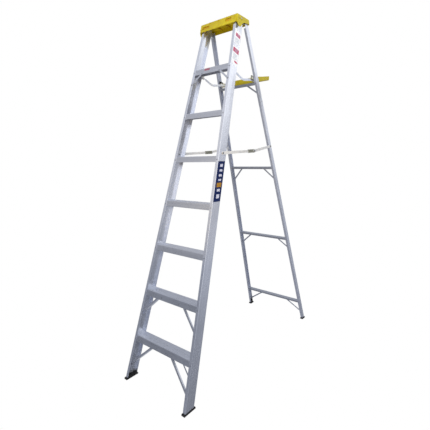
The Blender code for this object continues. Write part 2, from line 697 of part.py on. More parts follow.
def foot(name, side, frame, parent, half_width, taper, flange, wall, near, far, plug, floor_span, floor_width):
    """A pad under a rail, joined to a block that fills the channel's end."""
    low, high = floor_span
    inner, outer = floor_width
    bm = plate([(low, 0), (high, 0), (high, PAD_HEIGHT), (low, PAD_HEIGHT)],
               *sorted((side * inner, side * outer)))
    edges = [edge for edge in bm.edges if abs(edge.verts[0].co.z - edge.verts[1].co.z) > 0.001]
    bmesh.ops.bevel(bm, geom=edges, offset=0.004, segments=2, profile=0.5, affect="EDGES")
    bm.transform(frame.inverted())
    made = piece(name, bm, parent, RUBBER)
    slope = math.atan(taper)
    inwards = Vector((-side * math.cos(slope), 0, -math.sin(slope)))
    origin = Vector((side * half_width, 0, 0))
    inset = wall + GAP
    block = [(inset, near + inset), (flange, near + inset), (flange, far - inset), (inset, far - inset)]
    solid = prism(block, inwards, DEEP, tuple_shift(level(frame, PAD_HEIGHT / 2), origin),
                  tuple_shift(level(frame, plug), origin))
    solid.transform(Matrix.Translation(origin))
    combine(made, tool(name + "_plug", solid, parent), "UNION")
    return made


FRONT_REACH = FRONT_DEPTH / math.cos(FRONT_ANGLE)
REAR_FACE_Y = HINGE_Y + REAR_DEPTH / 2 / math.cos(REAR_ANGLE) + HINGE_Z * math.tan(REAR_ANGLE)
REAR_REACH = REAR_DEPTH / math.cos(REAR_ANGLE)
REAR_FOOT_HALF_WIDTH = REAR_HALF_WIDTH + REAR_TAPER * HINGE_Z / math.cos(REAR_ANGLE)

for side in (-1, 1):
    tag = side_name(side)
    foot("front_foot_" + tag, side, FRONT, front, FRONT_HALF_WIDTH, FRONT_TAPER, FRONT_FLANGE, FRONT_WALL,
         0, FRONT_DEPTH, FRONT_PLUG, (FRONT_Y - PAD_OVERHANG, FRONT_Y + FRONT_REACH + PAD_TAIL),
         (FRONT_HALF_WIDTH - FRONT_FLANGE - PAD_SIDE, FRONT_HALF_WIDTH + PAD_SIDE))
    foot("rear_foot_" + tag, side, REAR, rear, REAR_HALF_WIDTH, REAR_TAPER, REAR_FLANGE, REAR_WALL,
         -REAR_DEPTH / 2, REAR_DEPTH / 2, REAR_PLUG,
         (REAR_FACE_Y - REAR_REACH - PAD_OVERHANG, -FRONT_Y + PAD_OVERHANG),
         (REAR_FOOT_HALF_WIDTH - REAR_FLANGE - REAR_PAD_SIDE, REAR_FOOT_HALF_WIDTH + REAR_PAD_SIDE))

bpy.context.view_layer.update()
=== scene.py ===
"""Aluminium step ladder: looks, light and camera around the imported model.

Each CAD node is replaced by a finished piece of the same size, or keeps its shape with rounded edges.
Lengths are in metres, in the model's own frame: X across, Y from the steps to the rear legs, Z up.
"""

import json
import math

import bmesh
import bpy
from mathutils import Matrix, Vector

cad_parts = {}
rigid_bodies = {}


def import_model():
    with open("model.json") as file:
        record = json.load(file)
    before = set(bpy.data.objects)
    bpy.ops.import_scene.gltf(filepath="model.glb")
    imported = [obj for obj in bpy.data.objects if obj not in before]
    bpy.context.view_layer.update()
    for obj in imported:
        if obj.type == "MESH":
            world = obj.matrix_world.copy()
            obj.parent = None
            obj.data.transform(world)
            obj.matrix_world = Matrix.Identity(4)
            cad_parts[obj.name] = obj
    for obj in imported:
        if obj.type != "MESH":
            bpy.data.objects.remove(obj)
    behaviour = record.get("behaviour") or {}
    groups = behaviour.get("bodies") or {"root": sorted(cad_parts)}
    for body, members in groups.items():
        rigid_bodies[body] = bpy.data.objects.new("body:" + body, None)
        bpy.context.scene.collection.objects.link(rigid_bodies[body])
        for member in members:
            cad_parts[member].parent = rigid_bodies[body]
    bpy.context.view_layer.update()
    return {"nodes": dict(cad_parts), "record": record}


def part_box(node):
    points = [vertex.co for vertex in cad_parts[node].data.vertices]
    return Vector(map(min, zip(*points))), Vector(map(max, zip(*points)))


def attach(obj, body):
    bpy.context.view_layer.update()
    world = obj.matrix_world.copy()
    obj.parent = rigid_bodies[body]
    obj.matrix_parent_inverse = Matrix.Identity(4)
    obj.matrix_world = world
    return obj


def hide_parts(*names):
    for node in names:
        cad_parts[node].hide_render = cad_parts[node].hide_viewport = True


for old in list(bpy.data.objects):
    bpy.data.objects.remove(old, do_unlink=True)

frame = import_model()
nodes = frame["nodes"]
bodies_of = {node: body for body, members in frame["record"]["behaviour"]["bodies"].items() for node in members}

ACROSS = Vector((1, 0, 0))
DEEP = Vector((0, 1, 0))
UP = Vector((0, 0, 1))
WORLD = Matrix.Identity(4)
SIDES = (("left", -1), ("right", 1))

# ---------------------------------------------------------------- sizes that the CAD model leaves out

RAIL_WALL = 0.0018
REAR_WALL = 0.0015
PLAY = 0.0004  # clearance between a web and what ends on it
RAIL_ROUND = 0.0022  # outer corners of the rails
STEP_WALL = 0.0018
STEP_ROUND = 0.0028
RIDGE_COUNT = 9
RIDGE_HIGH = 0.0011
LIP_HIGH = 0.005
LIP_DEEP = 0.0012
PAD_HIGH = 0.012
CAP_TOP = 2.370
CAP_SKIRT = 2.317
CAP_TOP_HALF = 0.1725
CAP_TOP_FRONT = 0.0388
CAP_BOLT = (0.0755, 2.3488)
POCKETS = {"left": ((0.0860, 0.1520), (2.3315, 2.3495)), "right": ((0.0680, 0.1200), (2.3350, 2.3550))}
POCKET_DEEP = 0.0040
TRAY_FLOOR_SLOPE = 0.305
NAVY_SPAN = (1.1720, 1.4190)
PAPER_SPANS = ((2.2760, 2.1830), (2.1640, 2.0480))
RED_FIELDS = (((0.0120, 0.0530), (2.2330, 2.2550)), ((0.0060, 0.0560), (2.1270, 2.1560)),
              ((0.0260, 0.0560), (2.0640, 2.0740)))
RED_LINES = (2.1330, 2.1400, 2.1470, 2.2380, 2.2460)
GREY_LINES = ((2.1900, 7), (2.0800, 8))
STEP_TAG = ((-0.0680, -0.0170), (-0.0180, -0.0040))  # on the top step's skirt, counted from the tread
STRAP_CORNERS = ((0.0370, 2.3200), (0.0545, 2.3200), (0.0545, 2.2380), (0.0440, 2.2360))  # depth, height
NOTCH_DROP = 0.026  # the rear rail's front flange stops this far below the hinge
TRAY_WALL = 0.0025

# Tones of the world for reflections: (elevation in degrees, level) on each of four sides.
BACK_RIGHT = ((-40, 0.12), (-24, 0.24), (-12, 0.50), (-5, 0.46), (2, 0.36), (8, 0.62), (15, 1.22), (22, 1.12),
              (45, 0.88))
BACK_LEFT = ((-10, 0.60), (6, 0.82), (16, 0.60), (24, 0.52), (45, 0.52))
FRONT_LEFT = ((-40, 0.30), (-20, 0.26), (-11, 0.17), (0, 0.25), (10, 0.37), (20, 0.49), (30, 0.58), (45, 0.60))
FRONT_RIGHT = ((-25, 0.22), (-6, 0.26), (3, 0.62), (10, 1.10), (25, 1.10), (45, 0.90))

FLAG_PLACE = (0.510, 0.436, 1.780)
FLAG_SIZE = (0.175, 0.74)
FLAG_TURN = -54
FLAG_LEAN = -10


# ---------------------------------------------------------------- camera

EYE = Vector((1.6094, -1.5694, 1.3927))
AZIMUTH = 0.5433
TILT = -0.1634
ROLL = -0.0032
SENSOR = 36
LENS = 24.9539  # mm
SHIFT = (-0.19693, -0.00163)  # of the lens, as shares of the frame's width


def make_camera():
    """A low, close view from the front right."""
    data = bpy.data.cameras.new("camera")
    data.sensor_width = SENSOR
    data.lens = LENS
    data.shift_x, data.shift_y = SHIFT
    data.clip_end = 60
    forward = Vector((-math.sin(AZIMUTH) * math.cos(TILT), math.cos(AZIMUTH) * math.cos(TILT), math.sin(TILT)))
    right = Vector((math.cos(AZIMUTH), math.sin(AZIMUTH), 0))
    up = right.cross(forward)
    turned = Matrix.Rotation(-ROLL, 3, forward)
    right, up = turned @ right, turned @ up
    cam = bpy.data.objects.new("camera", data)
    cam.matrix_world = Matrix((right, up, -forward)).transposed().to_4x4()
    cam.matrix_world.translation = EYE
    bpy.context.scene.collection.objects.link(cam)
    bpy.context.scene.camera = cam


# ---------------------------------------------------------------- materials


class Graph:
    """A Principled material and short ways to add nodes to it."""

    def __init__(self, name):
        self.look = bpy.data.materials.new(name)
        self.look.use_nodes = True
        self.tree = self.look.node_tree
        self.shader = self.tree.nodes["Principled BSDF"]
        self.place = self.add("TexCoord").outputs["Object"]

    def add(self, kind, **values):
        """A new node of a kind, with its properties set."""
        made = self.tree.nodes.new("ShaderNode" + kind)
        for key, value in values.items():
            setattr(made, key, value)
        return made

    def link(self, source, target):
        """Join two sockets."""
        self.tree.links.new(source, target)

    def stretched(self, turn, scale):
        """Object coordinates turned, then scaled."""
        turned = self.add("Mapping")
        turned.inputs["Rotation"].default_value = turn
        self.link(self.place, turned.inputs["Vector"])
        scaled = self.add("Mapping")
        scaled.inputs["Scale"].default_value = scale
        self.link(turned.outputs["Vector"], scaled.inputs["Vector"])
        return scaled.outputs["Vector"]

    def noise(self, coords, scale=1.0, detail=3.0, roughness=0.5):
        """Cloudy noise."""
        made = self.add("TexNoise")
        made.inputs["Scale"].default_value = scale
        made.inputs["Detail"].default_value = detail
        made.inputs["Roughness"].default_value = roughness
        self.link(coords, made.inputs["Vector"])
        return made.outputs["Fac"]

    def cells(self, coords, scale, output="Color"):
        """Cellular noise."""
        made = self.add("TexVoronoi")
        made.inputs["Scale"].default_value = scale
        self.link(coords, made.inputs["Vector"])
        return made.outputs[output]

    def span(self, source, low, high, to_low=0.0, to_high=1.0):
        """A value rescaled from one range to another, held at its ends."""
        made = self.add("MapRange")
        for key, value in (("From Min", low), ("From Max", high), ("To Min", to_low), ("To Max", to_high)):
            made.inputs[key].default_value = value
        self.link(source, made.inputs["Value"])
        return made.outputs["Result"]

    def sums(self, kind, first, second):
        """A sum of two values, or whatever the kind of operation makes of them."""
        made = self.add("Math", operation=kind)
        for socket, value in zip(made.inputs, (first, second)):
            if isinstance(value, (int, float)):
                socket.default_value = value
            else:
                self.link(value, socket)
        return made.outputs["Value"]

    def blend(self, share, first, second):
        """A colour between two others, by a share."""
        made = self.add("Mix", data_type="RGBA")
        self.link(share, made.inputs["Factor"])
        for socket, value in ((made.inputs["A"], first), (made.inputs["B"], second)):
            if isinstance(value, tuple):
                socket.default_value = (*value, 1)
            else:
                self.link(value, socket)
        return made.outputs["Result"]

    def bump(self, height, distance, strength):
        """Fine relief on the surface."""
        made = self.add("Bump")
        made.inputs["Distance"].default_value = distance
        made.inputs["Strength"].default_value = strength
        self.link(height, made.inputs["Height"])
        self.link(made.outputs["Normal"], self.shader.inputs["Normal"])


def shade(colour, factor):
    """A colour made darker or lighter."""
    return tuple(min(1.0, part * factor) for part in colour)


def metal(name, colour, roughness, turn, metallic=0.84):
    """Drawn aluminium: fine lines along the section, broad tone bands, handling marks and scuffs."""
    graph = Graph(name)
    graph.shader.inputs["Metallic"].default_value = metallic
    lines = graph.noise(graph.stretched(turn, (900, 900, 6)), detail=2)
    bands = graph.noise(graph.stretched(turn, (70, 70, 0.9)), detail=3)
    cloud = graph.noise(graph.place, scale=7, detail=6, roughness=0.6)
    scuffs = graph.span(graph.noise(graph.stretched(turn, (45, 160, 60)), detail=8, roughness=0.7), 0.62, 0.72)
    tone = graph.sums("ADD", graph.sums("MULTIPLY", bands, 0.55), graph.sums("MULTIPLY", cloud, 0.45))
    tone = graph.span(tone, 0.34, 0.66)
    base = graph.blend(tone, shade(colour, 0.90), shade(colour, 1.05))
    worn = graph.blend(scuffs, base, shade(colour, 0.80))
    graph.link(worn, graph.shader.inputs["Base Color"])
    rough = graph.sums("ADD", graph.span(lines, 0.3, 0.7, roughness - 0.05, roughness + 0.05),
                       graph.span(cloud, 0.3, 0.7, -0.05, 0.08))
    rough = graph.sums("ADD", rough, graph.sums("MULTIPLY", scuffs, 0.10))
    graph.link(rough, graph.shader.inputs["Roughness"])
    height = graph.sums("ADD", graph.sums("MULTIPLY", lines, 0.6), graph.sums("MULTIPLY", bands, 1.0))
    graph.bump(height, 0.0004, 0.22)
    return graph.look


def zinc(name, colour, roughness, metallic=0.75):
    """Plated steel: small crystals, dull spots and fine scratches."""
    graph = Graph(name)
    graph.shader.inputs["Metallic"].default_value = metallic
    crystal = graph.cells(graph.place, 260)
    spots = graph.span(graph.noise(graph.place, scale=60, detail=7, roughness=0.65), 0.52, 0.68)
    lighter = graph.blend(graph.span(crystal, 0.1, 0.9), shade(colour, 0.86), shade(colour, 1.12))
    graph.link(graph.blend(spots, lighter, shade(colour, 0.66)), graph.shader.inputs["Base Color"])
    fine = graph.noise(graph.place, scale=900, detail=2)
    rough = graph.sums("ADD", graph.span(crystal, 0, 1, roughness - 0.06, roughness + 0.06),
                       graph.sums("MULTIPLY", spots, 0.2))
    graph.link(rough, graph.shader.inputs["Roughness"])
    graph.bump(fine, 0.0002, 0.3)
    return graph.look


def plastic(name, colour, deep_colour, roughness, grain=1100, grain_high=0.00025):
    """Moulded plastic: a pebbled skin, uneven pigment, rubbed and dusty patches."""
    graph = Graph(name)
    pebble = graph.cells(graph.place, grain, "Distance")
    cloud = graph.noise(graph.place, scale=16, detail=6, roughness=0.6)
    rubs = graph.span(graph.noise(graph.stretched((0, 0, 0.5), (40, 150, 90)), detail=8, roughness=0.7), 0.60, 0.74)
    base = graph.blend(graph.span(cloud, 0.36, 0.64), deep_colour, colour)
    graph.link(graph.blend(rubs, base, shade(colour, 1.18)), graph.shader.inputs["Base Color"])
    rough = graph.sums("ADD", graph.span(cloud, 0.3, 0.7, roughness - 0.05, roughness + 0.07),
                       graph.sums("MULTIPLY", rubs, 0.12))
    graph.link(rough, graph.shader.inputs["Roughness"])
    graph.bump(pebble, grain_high, 0.5)
    return graph.look


def rubber(name, colour, dust):
    """Moulded rubber: matt, with dust that gathers towards the floor."""
    graph = Graph(name)
    grain = graph.noise(graph.place, scale=700, detail=4)
    cloud = graph.noise(graph.place, scale=55, detail=6, roughness=0.7)
    parts = graph.add("SeparateXYZ")
    graph.link(graph.place, parts.inputs["Vector"])
    low = graph.span(parts.outputs["Z"], 0.0, 0.03, 0.7, 0.0)
    dusty = graph.sums("MULTIPLY", low, graph.span(cloud, 0.42, 0.66))
    graph.link(graph.blend(dusty, colour, dust), graph.shader.inputs["Base Color"])
    graph.link(graph.span(cloud, 0.3, 0.7, 0.6, 0.85), graph.shader.inputs["Roughness"])
    graph.bump(grain, 0.0004, 0.5)
    return graph.look


def vinyl(name, colour):
    """A printed film: slight mottle, rubbed spots and an orange-peel gloss."""
    graph = Graph(name)
    cloud = graph.noise(graph.place, scale=90, detail=5, roughness=0.6)
    worn = graph.span(graph.noise(graph.place, scale=220, detail=8, roughness=0.75), 0.60, 0.72)
    base = graph.blend(graph.span(cloud, 0.3, 0.7), shade(colour, 0.90), colour)
    rubbed = tuple(0.85 * part + 0.15 * 0.6 for part in colour)
    graph.shader.inputs["Specular IOR Level"].default_value = 0.2
    graph.link(graph.blend(worn, base, rubbed), graph.shader.inputs["Base Color"])
    graph.link(graph.span(cloud, 0.3, 0.7, 0.32, 0.5), graph.shader.inputs["Roughness"])
    graph.bump(graph.noise(graph.place, scale=420, detail=2), 0.0002, 0.25)
    return graph.look


# ---------------------------------------------------------------- mesh helpers


def face_out(bm):
    """Turn every face outwards."""
    bmesh.ops.recalc_face_normals(bm, faces=bm.faces)
    if bm.calc_volume(signed=True) < 0:
        bmesh.ops.reverse_faces(bm, faces=bm.faces)


def slide(point, run, plane):
    """The point moved along run onto a plane, which is a (point, normal) pair."""
    spot, normal = plane
    return point + run * ((spot - point).dot(normal) / run.dot(normal))


def prism(outline, a_axis, b_axis, start, end):
    """An outline in two axes, swept across both and mitred by the planes start and end."""
    run = a_axis.cross(b_axis)
    bm = bmesh.new()
    base = bm.faces.new([bm.verts.new(slide(a * a_axis + b * b_axis, run, start)) for a, b in outline])
    swept = bmesh.ops.extrude_face_region(bm, geom=[base])
    for item in swept["geom"]:
        if isinstance(item, bmesh.types.BMVert):
            item.co = slide(item.co, run, end)
    face_out(bm)
    return bm


def plane_x(x):
    """The upright plane across X at a distance."""
    return Vector((x, 0, 0)), ACROSS


def arc(centre, radius, start, end, count):
    """Points along a circular arc, in degrees."""
    angles = [math.radians(start + (end - start) * i / (count - 1)) for i in range(count)]
    return [(centre[0] + radius * math.cos(a), centre[1] + radius * math.sin(a)) for a in angles]


def slab(low, high, radius=0.0, count=5):
    """A rectangle between two corners, with round corners."""
    (a0, b0), (a1, b1) = low, high
    if not radius:
        return [(a0, b0), (a1, b0), (a1, b1), (a0, b1)]
    corners = ((a0 + radius, b0 + radius, 180), (a1 - radius, b0 + radius, 270), (a1 - radius, b1 - radius, 0),
               (a0 + radius, b1 - radius, 90))
    return [point for a, b, start in corners for point in arc((a, b), radius, start, start + 90, count)]


def spun(profile, steps=32):
    """A turned solid about Z; the profile is (radius, height) pairs."""
    bm = bmesh.new()
    points = [bm.verts.new((radius, 0, z)) for radius, z in profile]
    edges = [bm.edges.new(pair) for pair in zip(points, points[1:])]
    bmesh.ops.spin(bm, geom=points + edges, cent=(0, 0, 0), axis=(0, 0, 1), dvec=(0, 0, 0),
                   angle=2 * math.pi, steps=steps, use_merge=True, use_duplicate=False)
    bmesh.ops.remove_doubles(bm, verts=bm.verts, dist=1e-7)
    face_out(bm)
    return bm


def facing(point, normal):
    """A matrix that stands Z along a normal at a point."""
    turned = Vector(normal).to_track_quat("Z", "Y").to_matrix().to_4x4()
    turned.translation = point
    return turned


def pour(source, target, matrix=WORLD):
    """Add one bmesh to another, moved by a matrix, and free it."""
    mesh = bpy.data.meshes.new("passing")
    source.transform(matrix)
    source.to_mesh(mesh)
    source.free()
    target.from_mesh(mesh)
    bpy.data.meshes.remove(mesh)


def cleaned(node):
    """A CAD node's body, welded, with its flat faces whole again."""
    bm = bmesh.new()
    bm.from_mesh(nodes[node].data)
    bmesh.ops.remove_doubles(bm, verts=bm.verts, dist=1e-5)
    bmesh.ops.dissolve_limit(bm, angle_limit=math.radians(1), verts=bm.verts, edges=bm.edges)
    return bm


def rounded(bm, width, segments=3, above=35):
    """Round the sharp edges of a body."""
    edges = [edge for edge in bm.edges if len(edge.link_faces) == 2 and edge.calc_face_angle() > math.radians(above)]
    bmesh.ops.bevel(bm, geom=edges, offset=width, offset_type="OFFSET", segments=segments, profile=0.5,
                    affect="EDGES", clamp_overlap=True)
    return bm


def finish(name, bm, body, look, replaced=(), smooth_below=40):
    """A finished piece that rides on a body."""
    mesh = bpy.data.meshes.new(name)
    bm.to_mesh(mesh)
    bm.free()
    mesh.materials.append(look)
    mesh.shade_smooth()
    mesh.set_sharp_from_angle(angle=math.radians(smooth_below))
    made = bpy.data.objects.new(name, mesh)
    bpy.context.scene.collection.objects.link(made)
    even = made.modifiers.new("even", "WEIGHTED_NORMAL")
    even.keep_sharp = True
    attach(made, body)
    if replaced:
        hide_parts(*replaced)
    return made


def dressed(node, look, width, segments=3):
    """A CAD node's own shape with rounded edges."""
    return finish(node + "_finished", rounded(cleaned(node), width, segments), bodies_of[node], look,
                  [node])


def cutter(name, bm, body):
    """A hidden solid for a Boolean."""
    mesh = bpy.data.meshes.new(name)
    bm.to_mesh(mesh)
    bm.free()
    made = bpy.data.objects.new(name, mesh)
    made.hide_render = True
    made.display_type = "WIRE"
    bpy.context.scene.collection.objects.link(made)
    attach(made, body)
    return made


def cut(target, tool):
    """Take a hidden solid away from a piece, before its other modifiers."""
    step = target.modifiers.new(tool.name, "BOOLEAN")
    step.operation = "DIFFERENCE"
    step.object = tool
    target.modifiers.move(len(target.modifiers) - 1, 0)


# ---------------------------------------------------------------- the two ladder frames


class Rails:
    """The axes of a ladder frame, read from its right rail: X across, depth from the front face, run up the rail."""

    def __init__(self, node, wall):
        bm = cleaned(node)
        longest = max(bm.edges, key=lambda edge: edge.calc_length())
        line = longest.verts[1].co - longest.verts[0].co
        line = line if line.z > 0 else -line
        run = Vector((0, line.y, line.z)).normalized()
        deep = Vector((0, run.z, -run.y))
        near = min(vert.co.dot(deep) for vert in bm.verts)
        self.matrix = Matrix((ACROSS, deep, run)).transposed().to_4x4()
        self.matrix.translation = near * deep
        self.back = self.matrix.inverted()
        self.taper = -line.x / line.dot(run)
        local = [self.back @ vert.co for vert in bm.verts]
        self.half = max(point.x + self.taper * point.z for point in local)
        self.depth = max(point.y for point in local)
        self.flange = self.half - min(point.x + self.taper * point.z for point in local)
        self.wall = wall
        self.run = run
        self.deep = deep
        self.lean = math.atan2(run.y, run.z)
        bm.free()

    def up(self, height, depth=0.0):
        """Distance along the rail of a point at a height and depth."""
        return (height - self.matrix.translation.z - depth * self.deep.z) / self.run.z

    def at(self, x, depth, height):
        """The world point at a height, at a depth in the frame."""
        return self.matrix @ Vector((x, depth, self.up(height, depth)))

    def width(self, height, depth=0.0):
        """Half-width outside the webs at a height."""
        return self.half - self.taper * self.up(height, depth)

    def web(self, side, inset=0.0):
        """The plane of a web, in the frame's own coordinates."""
        slope = math.atan(self.taper)
        normal = Vector((side * math.cos(slope), 0, math.sin(slope)))
        return Vector((side * self.half, 0, 0)) - inset * normal, normal

    def level(self, height):
        """The plane of a world height, in the frame's own coordinates."""
        return self.back @ Vector((0, 0, height)), self.back.to_3x3() @ UP


FRONT = Rails("front_rail_right", RAIL_WALL)
REAR = Rails("rear_rail_right", REAR_WALL)

ALONG_FRONT = (FRONT.lean, 0, 0)
ALONG_REAR = (REAR.lean, 0, 0)
ALONG_X = (0, math.radians(90), 0)
ALONG_Y = (math.radians(90), 0, 0)

MILL = (0.79, 0.825, 0.92)
# The rear rails, treads, cross bars and braces use the same mill aluminium made darker: painted shade for the lower
# light these parts get.
LOOKS = {
    "front_rail": metal("rail_aluminium", MILL, 0.21, ALONG_FRONT),
    "rear_rail": metal("rear_rail_aluminium_painted_shade", shade(MILL, 0.97), 0.32, ALONG_REAR),
    "tread": metal("tread_aluminium", shade(MILL, 0.76), 0.30, ALONG_X),
    "bar": metal("cross_bar_aluminium_painted_shade", shade(MILL, 0.64), 0.34, ALONG_X),
    "brace": metal("brace_aluminium", shade(MILL, 0.80), 0.30, (0, math.radians(45), 0)),
    "spreader": metal("spreader_aluminium", (0.78, 0.785, 0.79), 0.36, ALONG_Y, 0.45),
    "zinc": zinc("zinc_steel", (0.66, 0.66, 0.67), 0.32),
    "link": zinc("link_steel", (0.68, 0.73, 0.86), 0.36, 0.3),
    "cream": plastic("cream_plastic", (0.62, 0.63, 0.54), (0.52, 0.53, 0.44), 0.45),
    "rivet": zinc("rivet_steel", (0.24, 0.25, 0.28), 0.36),
    "strap": zinc("strap_steel", (0.66, 0.62, 0.52), 0.42),
    "yellow": plastic("yellow_plastic", (0.46, 0.385, 0.004), (0.39, 0.305, 0.003), 0.40),
    # A darker copy of the yellow plastic: painted shade for the walls of the cap's pockets and the ribs under the cap.
    "yellow_painted_shade": plastic("yellow_plastic_painted_shade", (0.46, 0.28, 0.005), (0.36, 0.20, 0.003), 0.5),
    "sleeve": plastic("sleeve_plastic", (0.20, 0.21, 0.185), (0.15, 0.155, 0.135), 0.5, grain=700),
    "rubber": rubber("black_rubber", (0.006, 0.006, 0.007), (0.035, 0.034, 0.034)),
    "paper": vinyl("label_white", (0.80, 0.82, 0.86)),
    "red": vinyl("label_red", (0.46, 0.055, 0.12)),
    "dull_red": vinyl("label_dull_red", (0.26, 0.09, 0.13)),
    "navy": vinyl("label_navy", (0.004, 0.012, 0.070)),
    "orange": vinyl("label_orange", (0.27, 0.145, 0.02)),
    "pale": vinyl("label_pale", (0.40, 0.43, 0.56)),
    "grey": vinyl("label_grey", (0.42, 0.46, 0.54)),
}


# ---------------------------------------------------------------- rails


def rail_section(rails):
    """A channel with round outer corners and blunt lips: (distance in from the web, depth)."""
    far = rails.depth
    wall = rails.wall
    flange = rails.flange
    radius = RAIL_ROUND
    inner = radius - wall if radius > wall else 0.0003
    tip = wall * 0.42
    return (arc((radius, radius), radius, 180, 270, 6)
            + arc((flange - tip, tip), tip, 270, 360, 4) + arc((flange - tip, wall - tip), tip, 0, 90, 4)
            + arc((wall + inner, wall + inner), inner, 270, 180, 4)
            + arc((wall + inner, far - wall - inner), inner, 180, 90, 4)
            + arc((flange - tip, far - wall + tip), tip, 270, 360, 4) + arc((flange - tip, far - tip), tip, 0, 90, 4)
            + arc((radius, far - radius), radius, 90, 180, 6))


def make_rail(node, rails, side, look):
    """One rail, mitred level at both ends."""
    slope = math.atan(rails.taper)
    inwards = Vector((-side * math.cos(slope), 0, -math.sin(slope)))
    origin = Vector((side * rails.half, 0, 0))
    low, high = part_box(node)
    planes = []
    for height in (low.z, high.z):
        spot, normal = rails.level(height)
        planes.append((spot - origin, normal))
    bm = prism(rail_section(rails), inwards, DEEP, *planes)
    bm.transform(rails.matrix @ Matrix.Translation(origin))
    return finish(node + "_finished", bm, bodies_of[node], look, [node])


def make_rails():
    """The four side rails; the rear ones are notched to turn about the hinge bolts."""
    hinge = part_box("hinge_bolt_right")
    axis = (hinge[0] + hinge[1]) / 2
    spot = REAR.back @ Vector((0, axis.y, axis.z))
    for name, side in SIDES:
        make_rail("front_rail_" + name, FRONT, side, LOOKS["front_rail"])
        rear = make_rail("rear_rail_" + name, REAR, side, LOOKS["rear_rail"])
        edge = REAR.width(axis.z) - REAR.wall - 0.0002
        notch = slab((-0.002, spot.z - NOTCH_DROP), (REAR.wall + 0.0006, spot.z + 0.05))
        span = sorted((side * (edge - 0.03), side * edge))
        solid = prism(notch, DEEP, UP, plane_x(span[0]), plane_x(span[1]))
        solid.transform(REAR.matrix)
        cut(rear, cutter("rear_rail_notch_" + name, solid, "rear_frame"))


# ---------------------------------------------------------------- steps and cross bars


def ridged(start, end, count, high):
    """A ridged line from start to end at level 0: (position, level) pairs whose tops are at 0."""
    pitch = (end - start) / count
    points = []
    for index in range(count):
        left = start + index * pitch
        shares = ((0.18, -high), (0.34, 0), (0.66, 0), (0.82, -high))
        points += [(left + share * pitch, level) for share, level in shares]
    return points


def tread_section(near, far, top, front_base, rear_base):
    """The section of a step as (depth, height): ridged on top, with round edges and lips on its skirts."""
    wall = STEP_WALL
    r = STEP_ROUND
    drop = RIDGE_HIGH
    surface = [(depth, top + level) for depth, level in ridged(near + r, far - r, RIDGE_COUNT, drop)]
    return (arc((near + r, top - r), r, 180, 90, 5) + surface + arc((far - r, top - r), r, 90, 0, 5)
            + [(far, rear_base + 0.0006), (far - 0.0006, rear_base), (far - wall - LIP_DEEP, rear_base),
               (far - wall - LIP_DEEP, rear_base + LIP_HIGH - 0.001), (far - wall, rear_base + LIP_HIGH),
               (far - wall, top - wall - drop - 0.002), (far - wall - 0.002, top - wall - drop),
               (near + wall + 0.002, top - wall - drop), (near + wall, top - wall - drop - 0.002),
               (near + wall, front_base + LIP_HIGH), (near + wall + LIP_DEEP, front_base + LIP_HIGH - 0.001),
               (near + wall + LIP_DEEP, front_base), (near + 0.0006, front_base), (near, front_base + 0.0006)])


def make_steps():
    """The treads, each on the plane of its CAD node."""
    ends = [FRONT.web(side, FRONT.wall + PLAY) for side in (-1, 1)]
    for number in range(1, 8):
        node = "step_%d" % number
        bm = cleaned(node)
        local = [(FRONT.back @ vert.co).y for vert in bm.verts]
        near, far = min(local), max(local)
        top = max(vert.co.z for vert in bm.verts)
        bases = [min(vert.co.z for vert in bm.verts if abs((FRONT.back @ vert.co).y - depth) < 1e-4)
                 for depth in (near, far)]
        bm.free()
        outline = [(depth, FRONT.up(height, depth)) for depth, height in tread_section(near, far, top, *bases)]
        solid = prism(outline, DEEP, UP, *ends)
        solid.transform(FRONT.matrix)
        finish(node + "_finished", solid, bodies_of[node], LOOKS["tread"], [node])


def make_bars():
    """The cross bars of the rear frame."""
    for number in range(1, 5):
        dressed("rear_bar_%d" % number, LOOKS["bar"], 0.0006)


# ---------------------------------------------------------------- braces, spreaders, hinge parts, links


def make_braces():
    """All the braces, with slightly rounded edges."""
    names = [node for node in nodes if "brace" in node]
    for node in sorted(names):
        dressed(node, LOOKS["brace"], 0.0005)


def make_linkage():
    """The spreaders' bars and sleeves, the hinge brackets, and the tray's lugs and hangers."""
    for name, _ in SIDES:
        dressed("spreader_front_" + name, LOOKS["spreader"], 0.0009)
        dressed("spreader_rear_" + name, LOOKS["spreader"], 0.0009)
        dressed("spreader_sleeve_" + name, LOOKS["sleeve"], 0.0006)
        for node in ("hinge_bracket_", "tray_lug_", "tray_hanger_"):
            dressed(node + name, LOOKS["zinc"], 0.0004)


FASTENERS = {"spreader_rivet_front_": "rivet", "spreader_rivet_rear_": "rivet", "spreader_knuckle_": "rivet",
             "hinge_bolt_": "zinc"}


def make_fasteners():
    """Turned heads, shanks and set tails in the places of the CAD model's plain ones."""
    for stem, look in FASTENERS.items():
        for name, side in SIDES:
            low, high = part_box(stem + name)
            centre = (low + high) / 2
            radius = (high.z - low.z) / 2
            inner, outer = sorted((abs(low.x), abs(high.x)))
            length = outer - inner
            rise = min(0.0034, length * 0.3)
            tail = min(0.0024, length * 0.12)
            washer = 0.0008
            head = length - rise
            profile = [(0, length), (radius * 0.30, length - rise * 0.04), (radius * 0.58, length - rise * 0.2),
                       (radius * 0.78, length - rise * 0.48), (radius * 0.84, head + washer + 0.0001),
                       (radius * 0.97, head + washer), (radius, head + washer * 0.6), (radius, head),
                       (radius * 0.44, head), (radius * 0.44, tail), (radius * 0.74, tail), (radius * 0.76, tail * 0.6),
                       (radius * 0.62, tail * 0.15), (radius * 0.4, 0), (radius * 0.3, 0),
                       (radius * 0.24, tail * 0.6), (0, tail * 0.7)]
            bm = spun(profile)
            bm.transform(facing(Vector((side * inner, centre.y, centre.z)), (side, 0, 0)))
            finish(stem + name + "_finished", bm, bodies_of[stem + name], LOOKS[look],
                   [stem + name])


def make_links():
    """The bent flat links that carry the tray."""
    for name, _ in SIDES:
        dressed("tray_link_" + name, LOOKS["link"], 0.0006, 2)


# ---------------------------------------------------------------- rivets


def dome(radius, rise):
    """A low rivet head on Z, sunk a little into what it holds."""
    return spun([(0, rise), (radius * 0.38, rise * 0.93), (radius * 0.7, rise * 0.7), (radius * 0.92, rise * 0.34),
                 (radius, 0.0), (radius, -0.0003), (0, -0.0003)], steps=20)


